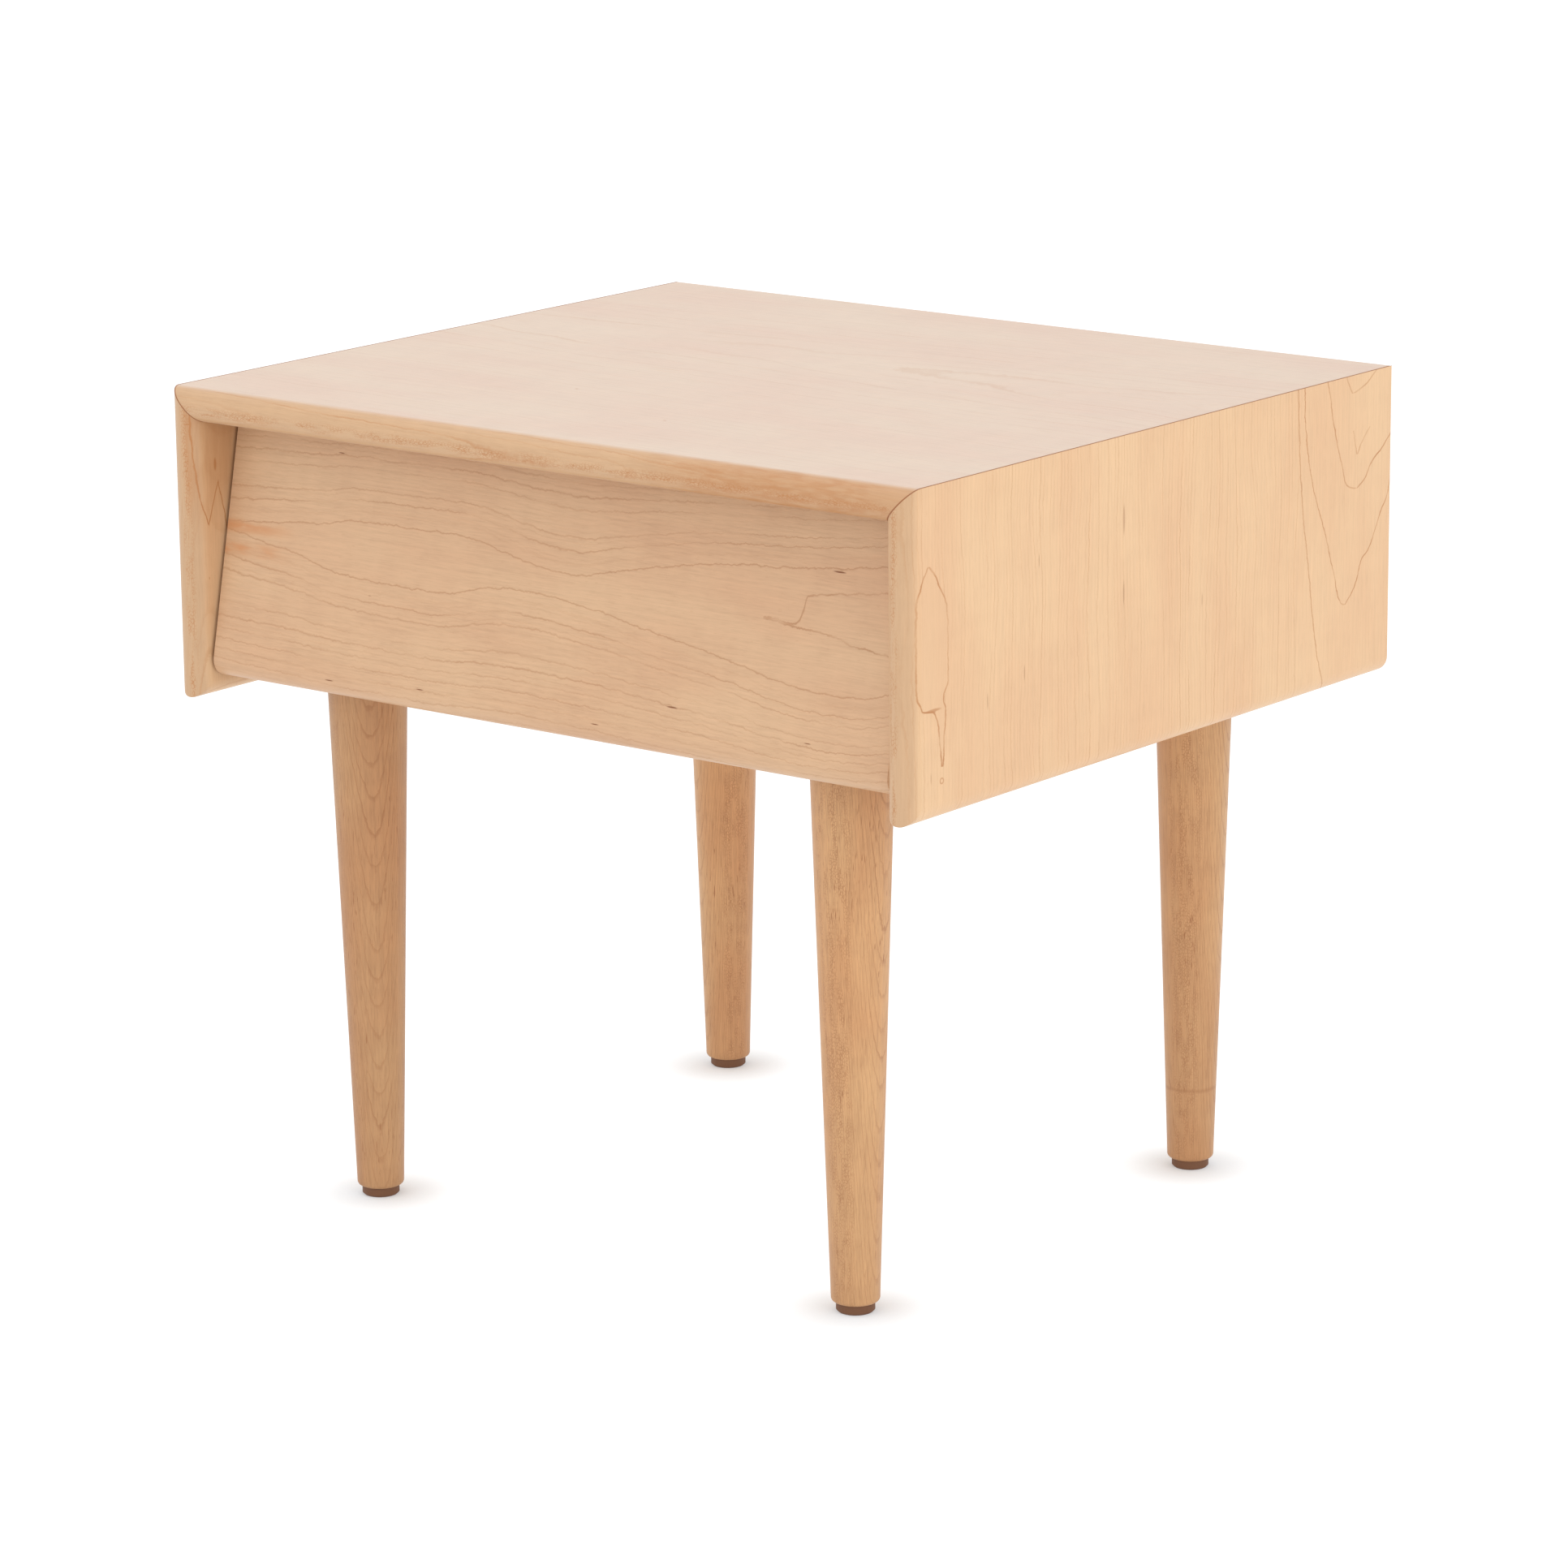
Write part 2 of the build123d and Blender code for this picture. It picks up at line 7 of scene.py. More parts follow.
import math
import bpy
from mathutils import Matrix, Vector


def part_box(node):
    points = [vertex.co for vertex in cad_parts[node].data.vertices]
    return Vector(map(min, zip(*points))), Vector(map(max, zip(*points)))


bl_info = {
    "name": "Maple Side Table",
    "version": (1, 0, 0),
    "blender": (4, 5, 0),
    "location": "3D View > Sidebar > Side Table",
    "description": "Wood, metal and plastic finishes for a side table with a drawer, and its studio",
    "category": "Object",
}

import bpy
from mathutils import Euler, Matrix, Vector

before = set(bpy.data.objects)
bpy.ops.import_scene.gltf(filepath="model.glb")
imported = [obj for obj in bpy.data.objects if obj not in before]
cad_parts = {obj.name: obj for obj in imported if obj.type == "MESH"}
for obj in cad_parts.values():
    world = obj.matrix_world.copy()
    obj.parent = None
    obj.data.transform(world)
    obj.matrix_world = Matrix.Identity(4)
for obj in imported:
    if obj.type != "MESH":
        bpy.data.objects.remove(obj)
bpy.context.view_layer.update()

MM = 0.001
TOP_LOW, TOP_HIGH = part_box("top_panel")
SIDE_LOW, SIDE_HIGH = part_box("right_side_panel")
FRONT_LOW, FRONT_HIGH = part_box("drawer_front")
HALF_WIDTH = TOP_HIGH.x
HEIGHT = TOP_HIGH.z
FRONT_FACE = TOP_LOW.y
BOARD = TOP_HIGH.z - TOP_LOW.z
FRONT_LEAN = math.radians(11.4)


# Settings


def tint(red, green, blue):
    """A linear colour with full alpha from the usual 0 to 255 display values."""

    def linear(level):
        share = level / 255
        return share / 12.92 if share <= 0.04045 else ((share + 0.055) / 1.055) ** 2.4

    return (linear(red), linear(green), linear(blue), 1.0)


def colour_setting(name, description, default):
    return bpy.props.FloatVectorProperty(
        name=name, description=description, default=default, size=4, min=0, max=1, subtype="COLOR"
    )


def length_setting(name, description, default):
    return bpy.props.FloatProperty(
        name=name, description=description, default=default, min=0, unit="LENGTH", subtype="DISTANCE"
    )


def amount_setting(name, description, default):
    return bpy.props.FloatProperty(name=name, description=description, default=default, min=0)


class SideTableCase(bpy.types.PropertyGroup):
    """Colours and grain of the mitred case."""

    # The top's face tone is paler than the nose, partly as painted sheen from the light above and partly because the
    # nose shows darker edge grain.
    top_tone_and_sheen: colour_setting("Top", "Face of the top board", tint(209, 187, 167))
    top_blush: colour_setting("Top blush", "Rosier patches of the top board", tint(208, 181, 162))
    nose_tone: colour_setting("Nose", "Rounded front edges", tint(198, 161, 124))
    side_tone: colour_setting("Side", "Faces of the side boards", tint(219, 182, 141))
    side_blush: colour_setting("Side blush", "Rosier patches of the side boards", tint(215, 174, 134))
    inner_tone: colour_setting("Inner boards", "Back and bottom boards", tint(222, 186, 148))
    line_tone: colour_setting("Growth lines", "Late wood in the case's boards", tint(178, 120, 70))
    fleck_tone: colour_setting("Flecks", "Small dark flecks in the side boards", tint(140, 88, 50))
    glue_tone: colour_setting("Glue line", "Hairline along each mitre", tint(142, 84, 40))
    glue_width: length_setting("Glue line width", "Width of the mitre's hairline", 1.0 * MM)


class SideTableDrawer(bpy.types.PropertyGroup):
    """Colours and grain of the drawer."""

    front_tone: colour_setting("Front", "Face of the drawer front", tint(204, 167, 131))
    front_blush: colour_setting("Front blush", "Rosier patches of the front", tint(199, 158, 123))
    line_tone: colour_setting("Growth lines", "Late wood in the drawer front", tint(158, 106, 62))
    fleck_tone: colour_setting("Flecks", "Small dark flecks in the front", tint(128, 78, 44))
    heart_tone: colour_setting("Heart stain", "Red patch at the front's left end", tint(198, 142, 98))
    box_tone: colour_setting("Box", "Sides, back and inner front", tint(226, 192, 154))
    ply_tone: colour_setting("Plywood", "Drawer bottom and mitre splines", tint(220, 190, 150))
    ring_pitch: length_setting("Ring pitch", "Usual distance between growth lines", 6.3 * MM)


class SideTableLegs(bpy.types.PropertyGroup):
    """Colours and grain of the legs and glides."""

    tone: colour_setting("Leg", "Turned legs", tint(204, 159, 112))
    blush: colour_setting("Leg blush", "Darker patches of the legs", tint(194, 141, 95))
    line_tone: colour_setting("Growth lines", "Late wood in the legs", tint(150, 98, 58))
    glide_tone: colour_setting("Glide", "Pads under the legs", tint(112, 72, 44))
    ring_pitch: length_setting("Ring pitch", "Distance between growth lines", 1.1 * MM)


class SideTableHardware(bpy.types.PropertyGroup):
    """Colours of the metal and plastic pieces."""

    zinc_tone: colour_setting("Slide steel", "Zinc-plated slides and plates", tint(176, 180, 184))
    screw_tone: colour_setting("Screws", "Plated screws and bolts", tint(188, 186, 176))
    nylon_tone: colour_setting("Nylon", "Bearing pads in the slides", tint(226, 224, 214))
    clip_tone: colour_setting("Clips", "Front locking clips", tint(96, 99, 104))


class SideTableStudio(bpy.types.PropertyGroup):
    """Camera, lights and floor."""

    camera_place: bpy.props.FloatVectorProperty(
        name="Camera place",
        description="Where the camera stands",
        default=(2.1657, -2.7404, 1.1240),
        subtype="TRANSLATION",
        unit="LENGTH",
    )
    camera_turn: bpy.props.FloatProperty(
        name="Camera turn", description="To the right of the front", default=math.radians(38.34), unit="ROTATION"
    )
    camera_dip: bpy.props.FloatProperty(
        name="Camera dip", description="Below level", default=math.radians(13.99), unit="ROTATION"
    )
    camera_roll: bpy.props.FloatProperty(
        name="Camera roll", description="Tilt of the horizon", default=math.radians(-0.54), unit="ROTATION"
    )
    lens: amount_setting("Lens", "Focal length in millimetres", 134.4)
    sky: amount_setting("Surround", "Brightness of the white surround", 1.0)
    overhead: amount_setting("Overhead light", "Power of the large light above, in watts", 14.0)
    right_fill: amount_setting("Right light", "Power of the large light at the right, in watts", 15.0)
    front_fill: amount_setting("Front light", "Power of the large light in front, in watts", 6.0)
    floor_tone: colour_setting("Floor", "Plain floor", (0.82, 0.85, 0.88, 1.0))
    floor_share: amount_setting("Floor glow share", "Share of the floor that shines by itself", 0.76)
    floor_glow: amount_setting("Floor glow", "Brightness of that share", 1.24)


GROUPS = {
    "side_table_case": SideTableCase,
    "side_table_drawer": SideTableDrawer,
    "side_table_legs": SideTableLegs,
    "side_table_hardware": SideTableHardware,
    "side_table_studio": SideTableStudio,
}


# Shader maths


class Signal:
    """A socket inside a material. Arithmetic on it adds Math nodes."""

    def __init__(self, shader, socket):
        self.shader = shader
        self.socket = socket

    def beside(self, name):
        """Another output of the same node."""
        return Signal(self.shader, self.socket.node.outputs[name])

    def math(self, operation, *others):
        return self.shader.math(operation, self, *others)

    def __add__(self, other):
        return self.math("ADD", other)

    def __radd__(self, other):
        return self.math("ADD", other)

    def __sub__(self, other):
        return self.math("SUBTRACT", other)

    def __rsub__(self, other):
        return self.shader.math("SUBTRACT", other, self)

    def __mul__(self, other):
        return self.math("MULTIPLY", other)

    def __rmul__(self, other):
        return self.math("MULTIPLY", other)

    def __truediv__(self, other):
        return self.math("DIVIDE", other)

    def __pow__(self, power):
        return self.math("POWER", power)

    def __abs__(self):
        return self.math("ABSOLUTE")

    def rise(self, low, high, start=0.0, end=1.0):
        """A smooth step from start to end as this goes from low to high."""
        settings = {"interpolation_type": "SMOOTHSTEP"}
        return self.shader.node("MapRange", settings, {0: self, 1: low, 2: high, 3: start, 4: end})

    def bump_at(self, centre, width):
        """1 at the centre, falling smoothly to 0 at the width on either side."""
        return 1 - abs(self - centre).rise(0, width)


class Shader:
    """A material being put together, with one way of adding any node."""

    def __init__(self, name):
        self.material = bpy.data.materials.new(name)
        self.material.use_nodes = True
        self.tree = self.material.node_tree
        self.tree.nodes.clear()
        place = self.node("TexCoord", output="Object")
        self.x = self.node("SeparateXYZ", inputs={0: place})
        self.y = self.x.beside("Y")
        self.z = self.x.beside("Z")

    def node(self, kind, settings=None, inputs=None, output=0):
        """Any node: its type, its settings, then the values or links of its sockets."""
        node = self.tree.nodes.new("ShaderNode" + kind)
        for name, value in (settings or {}).items():
            if name in ("AUTO_CLAMPED", "VECTOR"):
                self.draw_curve(node.mapping, value, name)
            else:
                setattr(node, name, value)
        for name, value in (inputs or {}).items():
            if isinstance(value, Signal):
                self.tree.links.new(value.socket, node.inputs[name])
            else:
                node.inputs[name].default_value = value
        return Signal(self, node.outputs[output])

    @staticmethod
    def draw_curve(mapping, points, corners):
        mapping.extend = "HORIZONTAL"
        curve = mapping.curves[0]
        for x, y in points[2:]:
            curve.points.new(x, y)
        for point, place in zip(curve.points, sorted(points)):
            point.location = place
            point.handle_type = corners
        mapping.update()

    def math(self, operation, *values):
        return self.node("Math", {"operation": operation}, dict(enumerate(values)))

    def vector(self, x, y, z):
        return self.node("CombineXYZ", inputs={0: x, 1: y, 2: z})

    def outline(self, along, places, corners="AUTO_CLAMPED"):
        """A line through a few places, each how far along and across, in millimetres."""
        starts, offsets = zip(*places)
        start, span = min(starts), max(starts) - min(starts)
        low, reach = min(offsets), max(offsets) - min(offsets)
        points = [((place - start) / span, (offset - low) / reach) for place, offset in places]
        share = (along - start * MM) / (span * MM)
        return self.node("FloatCurve", {corners: points}, {1: share}) * (reach * MM) + low * MM

    def noise(self, x, y, z, detail=2.0, roughness=0.5):
        """Soft noise around 0, from about -0.5 to 0.5."""
        inputs = {"Vector": self.vector(x, y, z), "Scale": 1.0, "Detail": detail, "Roughness": roughness}
        return self.node("TexNoise", inputs=inputs) - 0.5

    def cell_edges(self, x, y, z):
        """Distance to the nearest wall between irregular cells."""
        settings = {"feature": "DISTANCE_TO_EDGE"}
        return self.node("TexVoronoi", settings, {"Vector": self.vector(x, y, z), "Scale": 1.0})

    def lottery(self, number):
        """A fixed random value from 0 to 1 for each whole number."""
        return self.node("TexWhiteNoise", {"noise_dimensions": "1D"}, {"W": number})

    def mix(self, first, second, share, blend="MIX"):
        """A colour between two."""
        settings = {"data_type": "RGBA", "blend_type": blend, "clamp_factor": True}
        return self.node("Mix", settings, {0: share, 6: first, 7: second}, output=2)

    def shade(self, colour, level):
        """A colour made darker or lighter by a level around 1."""
        grey = self.vector(level, level, level)
        return self.mix(colour, grey, 1.0, blend="MULTIPLY")

    def close(self, colour, roughness, relief=None, depth=0.0, **constants):
        """The finished surface: colour, roughness, relief and whatever is the same all over."""
        inputs = {"Base Color": colour, "Roughness": roughness}
        inputs.update(constants)
        if relief is not None:
            bump = {"Height": relief, "Strength": 0.6, "Distance": depth}
            inputs["Normal"] = self.node("Bump", inputs=bump)
        return self.finish(self.node("BsdfPrincipled", inputs=inputs))

    def finish(self, surface):
        """Sends a surface to the material's output."""
        output = self.tree.nodes.new("ShaderNodeOutputMaterial")
        self.tree.links.new(surface.socket, output.inputs["Surface"])
        return self.material


# Wood


class Grain:
    """Directions in one board: along and across its face, and into its depth, in metres."""

    def __init__(self, shader, along, across, deep, seed):
        self.shader = shader
        self.along = along + seed
        self.across = across + 0.37 * seed
        self.deep = deep

    def stretched(self, along, across, detail=2.0, roughness=0.5):
        """Noise in lumps of the given length along and width across the grain, in metres."""
        return self.shader.noise(
            self.along / along, self.across / across, self.deep / across, detail, roughness
        )

    def wander(self, broad, fine):
        """How far growth lines stray from their course: broad waves and small jags, in metres."""
        waves = self.stretched(0.10, 0.06, detail=1.0) * broad
        jags = self.stretched(0.007, 0.012, detail=3.0, roughness=0.7) * fine
        return waves + jags


def late_wood(grain, course, pitch, soft_edge, sure=0.0):
    """Dark lines where the course, a depth in metres, passes each multiple of the pitch.

    Each line fades in over soft_edge and ends sharply. Lines differ in strength and along their
    length; sure raises their strength where it is near 1.
    """
    shader = grain.shader
    ring = course / pitch
    share = ring.math("FRACT")
    before = 1 - ((1 - share) * pitch).rise(0, soft_edge)
    after = 1 - (share * pitch).rise(0, 0.35 * soft_edge)
    number = (ring + 0.5).math("FLOOR")
    strength = 0.12 + 0.78 * shader.lottery(number) ** 1.2
    fading = shader.noise(grain.along / 0.05, number * 3.7, number, detail=2.0).rise(-0.2, 0.12, 0.25, 1.0)
    strength = (strength * fading).math("MAXIMUM", sure)
    return before.math("MAXIMUM", after) * strength


def offset_from(shader, along, across, places, corners="AUTO_CLAMPED"):
    """How far a point lies from an outline, square to its course, and less than 0 below it."""
    here = shader.outline(along, places, corners)
    slope = (shader.outline(along + 0.4 * MM, places, corners) - here) / (0.4 * MM)
    return (across - here) / (1 + slope * slope).math("SQRT")


def pocket(shader, along, across, lower, upper, width):
    """A figure between two outlines: its dark rim, and the distance inwards from the rim."""
    above_lower = offset_from(shader, along, across, lower)
    above_upper = offset_from(shader, along, across, upper)
    depth = above_lower.math("MINIMUM", -1 * above_upper)
    inside = along.math("GREATER_THAN", lower[0][0] * MM) * along.math("LESS_THAN", lower[-1][0] * MM)
    fading = shader.noise(along / 0.016, across / 0.03, 0.0, detail=2.0).rise(-0.2, 0.14, 0.35, 1.0)
    rim = (1 - abs(depth).rise(0.2 * width, width)) * fading
    return rim * inside, depth * inside


def wood_surface(grain, tone, blush, line_tone, lines, contrast=1.0, stains=(), roughness=0.42):
    """A maple surface from its growth lines, with fibres, small pores and mottling of its own."""
    shader = grain.shader
    mottle = grain.stretched(0.14, 0.05, detail=3.0).rise(-0.2, 0.24)
    figure = grain.stretched(0.014, 0.030, detail=2.0)
    fibre = grain.stretched(0.05, 0.0016, detail=3.0, roughness=0.6)
    hair = grain.stretched(0.009, 0.0006, detail=1.0)
    pores = grain.stretched(0.0045, 0.0005, detail=1.0).rise(0.16, 0.27)
    colour = shader.mix(tone, blush, mottle)
    light = contrast * (0.20 * fibre + 0.14 * hair + 0.08 * figure)
    colour = shader.shade(colour, 1 + light)
    dark = contrast * (0.18 * pores + 0.9 * (-1 * light).math("MAXIMUM", 0.0))
    colour = shader.mix(colour, line_tone, dark)
    colour = shader.mix(colour, line_tone, lines)
    for stain, mask in stains:
        colour = shader.mix(colour, stain, mask)
    relief = fibre + hair - 0.6 * pores - 0.4 * lines
    gloss = roughness + 0.10 * fibre + 0.08 * hair + 0.06 * lines + 0.04 * figure
    return shader.close(colour, gloss, relief, 0.05 * MM, **{"Specular IOR Level": 0.42})


def flecks(along, across, spots, slimness=0.07):
    """Short dark flecks. Each spot is its place along and across the grain, and half its length."""
    marks = None
    for place, offset, reach in spots:
        lengthwise = (along - place) / reach
        sideways = (across - offset) / (reach * slimness)
        mark = 1 - (lengthwise * lengthwise + sideways * sideways).rise(0.1, 1.0)
        marks = mark if marks is None else marks.math("MAXIMUM", mark)
    return marks


def lace(shader, along, across, deep, cell, mask):
    """Small ovals with dark rims, where rays are cut across, inside a mask."""
    bend = 0.6 * shader.noise(along / (3 * cell), across / (2 * cell), deep / (2 * cell))
    rim = shader.cell_edges(along / (2.1 * cell), across / cell + bend, deep / cell)
    broken = shader.noise(along / 0.02, across / 0.004, deep / 0.004).rise(-0.14, 0.1)
    return (1 - rim.rise(0.03, 0.16)) * broken * mask


def mitre_line(shader, width):
    """1 on the hairline where the top meets either side."""
    from_side = HALF_WIDTH - abs(shader.x)
    from_top = HEIGHT - shader.z
    return 1 - abs(from_side - from_top).rise(0.3 * width, 0.8 * width)


def log_course(across, deep, pith_across, pith_depth, along, taper):
    """Distance from the log's slanting pith: its rings are the growth lines of a sawn board."""
    sideways = across - pith_across
    inward = deep + pith_depth
    return (sideways * sideways + inward * inward).math("SQRT") - taper * along


def top_wood(case):
    shader = Shader("maple_top")
    from_top = HEIGHT - shader.z
    grain = Grain(shader, shader.x, shader.y, from_top, 3.1)
    course = log_course(shader.y, from_top, 0.06, 0.10, shader.x, 0.035) + grain.wander(10 * MM, 2.0 * MM)
    lines = late_wood(grain, course, 7.5 * MM, 1.0 * MM) + 0.5 * late_wood(grain, course, 2.7 * MM, 0.6 * MM)
    nose = 1 - (shader.y - FRONT_FACE).rise(4.5 * MM, 9.5 * MM)
    faint = 0.30 + 0.40 * nose
    below_nose = from_top.bump_at(13.0 * MM, 5.0 * MM)
    rays = lace(shader, shader.x, shader.z, shader.y, 1.1 * MM, below_nose * nose)
    smudge = shader.x.rise(0.07, 0.15) * (1 - shader.x.rise(0.235, 0.27)) * nose
    smudge = smudge * grain.stretched(0.014, 0.0026, detail=3.0).rise(-0.16, 0.20)
    specks = flecks(shader.x, shader.y, ((-0.073, -0.106, 1.6 * MM), (0.036, -0.156, 1.6 * MM)), 0.7)
    streaks = grain.stretched(0.05, 0.0022, detail=2.0).rise(0.12, 0.28) * (1 - nose)
    # Painted sheen: the face takes the paler top tone and the nose the darker nose tone, which also stands for its edge
    # grain.
    tone = shader.mix(case.top_tone_and_sheen, case.nose_tone, nose)
    blush = shader.mix(case.top_blush, case.nose_tone, nose)
    stains = (
        (case.line_tone, rays * 0.85),
        (case.line_tone, shader.x.rise(0.06, 0.17) * nose * 0.34),
        (case.line_tone, smudge * 0.50),
        (case.nose_tone, streaks * 0.40),
        (case.line_tone, specks * 0.7),
        (case.glue_tone, mitre_line(shader, case.glue_width) * 0.95),
    )
    return wood_surface(grain, tone, blush, case.line_tone, lines * faint, 0.95, stains, 0.40)


def side_wood(case, side):
    """The right or left side board, its grain upright. Side is 1 on the right and -1 on the left."""
    shader = Shader("maple_side_right" if side > 0 else "maple_side_left")
    deep = HALF_WIDTH - shader.x * side
    grain = Grain(shader, shader.z, shader.y, deep, 7.3 + 2.1 * side)
    if side > 0:
        course = shader.y + grain.wander(14 * MM, 2.6 * MM)
        sure = 0.0
        stains, quiet = right_side_figures(case, shader, grain)
    else:
        near_pith = 1 - abs(shader.y + 0.212).rise(0.03, 0.09)
        course = log_course(shader.y, deep, -0.212, 0.105, shader.z * near_pith, 0.1)
        course = course + grain.wander(6 * MM, 1.6 * MM)
        sure = shader.y.bump_at(-0.205, 0.05) * 0.4
        stains, quiet = left_side_figures(case, shader, grain, deep), 0.8
    lines = late_wood(grain, course, 9.3 * MM, 0.9 * MM, sure)
    lines = lines.math("MAXIMUM", 0.7 * late_wood(grain, course, 3.1 * MM, 0.7 * MM))
    nose = 1 - (shader.y - FRONT_FACE).rise(2.5 * MM, 8.5 * MM)
    on_edge = deep.bump_at(12.5 * MM, 5.0 * MM)
    rays = lace(shader, shader.z, deep, shader.y, 1.1 * MM, on_edge * nose)
    stains += [
        (case.line_tone, rays * 0.85),
        (case.glue_tone, mitre_line(shader, case.glue_width) * 0.95),
    ]
    # Painted shade: the left side board is made a little darker than the right, for the dimmer light on that side.
    level = 1.0 if side > 0 else 0.96
    tone = shader.shade(shader.mix(case.side_tone, case.nose_tone, nose), level)
    blush = shader.shade(shader.mix(case.side_blush, case.nose_tone, nose), level)
    return wood_surface(grain, tone, blush, case.line_tone, lines * quiet * 0.60, 0.8, stains)


def left_side_figures(case, shader, grain, deep):
    """The left side's zigzag line on its inner face, and painted shade darkening the upper part of that face."""
    jag = grain.stretched(0.008, 0.010, detail=3.0, roughness=0.7) * (2.0 * MM)
    zigzag = ((-241, 486), (-240, 460), (-237, 437), (-232, 424), (-227, 438), (-223, 449), (-218, 429), (-212, 396))
    off_line = offset_from(shader, shader.y + jag, shader.z + jag, zigzag, "VECTOR")
    line = 1 - abs(off_line).rise(0.15 * MM, 0.65 * MM)
    inner = deep.rise(11 * MM, 14 * MM)
    # Painted shade: browns the upper part of the inner face, where it lies in shade.
    upper_inner_shade = shader.z.rise(0.405, 0.465) * inner * grain.stretched(0.05, 0.009, detail=3.0).rise(-0.3, 0.1, 0.4, 1.0)
    speck = flecks(shader.z, shader.y, ((0.391, -0.233, 1.2 * MM), (0.460, -0.225, 5 * MM)), 0.3)
    return [
        (case.line_tone, upper_inner_shade * 0.50),
        (case.line_tone, line * inner * 0.85),
        (case.line_tone, speck * inner * 0.8),
    ]


def right_side_figures(case, shader, grain):
    """The right side's closed loop, knot, nested tongues and flecks, and where other lines show."""
    jag = grain.stretched(0.008, 0.010, detail=3.0, roughness=0.7) * (3.0 * MM)
    across = shader.y + jag
    loop_left = ((348, -215), (370, -218), (380, -222), (383, -233), (397, -237), (437, -237), (449, -235), (463, -227))
    loop_right = ((348, -214), (370, -212), (380, -211), (386, -213), (397, -209), (428, -209), (451, -217), (463, -226))
    loop, in_loop = pocket(shader, shader.z, across, loop_left, loop_right, 0.85 * MM)
    tongue_left = ((368, 193), (371, 188), (390, 181), (420, 169), (450, 156), (480, 149), (508, 147))
    tongue_right = ((368, 194), (380, 206), (392, 211), (398, 219), (420, 233), (433, 241), (508, 250))
    tongue, in_tongue = pocket(shader, shader.z, across, tongue_left, tongue_right, 0.7 * MM)
    tip_left = ((438, 204), (442, 194), (456, 188), (478, 180), (497, 175), (508, 172))
    tip_right = ((438, 206), (443, 214), (452, 222), (461, 236), (470, 244), (508, 250))
    tip, in_tip = pocket(shader, shader.z, across, tip_left, tip_right, 0.75 * MM)
    edge = shader.outline(shader.z, ((317, 176), (325, 170), (353, 161), (398, 153), (450, 144), (508, 140)))
    outer = 1 - abs(across - edge).rise(0.2 * MM, 0.8 * MM)
    small_left, small_right = ((459, 205), (466, 203), (474, 201)), ((459, 206), (464, 209), (474, 219))
    small, in_small = pocket(shader, shader.z, across, small_left, small_right, 0.8 * MM)
    crown_left, crown_right = ((497, 199), (503, 195), (508, 193)), ((497, 201), (500, 212), (508, 226))
    crown, in_crown = pocket(shader, shader.z, across, crown_left, crown_right, 0.8 * MM)
    spots = ((0.449, -0.123, 5 * MM), (0.387, -0.137, 6 * MM), (0.416, -0.040, 9 * MM), (0.377, -0.172, 6 * MM))
    spots += ((0.343, -0.225, 4 * MM), (0.459, -0.040, 11 * MM), (0.398, 0.040, 5 * MM), (0.448, 0.145, 4 * MM))
    dots = flecks(shader.z, shader.y, spots, 0.11)
    knot_far = ((shader.y + 0.215) ** 2.0 + (shader.z - 0.340) ** 2.0).math("SQRT")
    knot = knot_far.bump_at(1.5 * MM, 0.8 * MM)
    pale = in_loop.rise(0, 1.5 * MM)
    quiet = 1 - 0.8 * shader.y.rise(0.130, 0.155) - 0.9 * pale
    stains = [
        (case.side_blush, pale * 0.4),
        (case.line_tone, loop * abs(shader.z - 0.420).rise(0.01, 0.04, 0.55, 1.0)),
        (case.line_tone, flecks(across, shader.z, ((-0.223, 0.3815, 9 * MM),), 0.13) * 0.7),
        (case.line_tone, tongue * 0.95),
        (case.line_tone, tip),
        (case.line_tone, outer * 0.60),
        (case.line_tone, crown.math("MAXIMUM", small) * 0.6),
        (case.fleck_tone, dots * 0.42),
        (case.line_tone, knot * 0.7),
    ]
    return stains, quiet


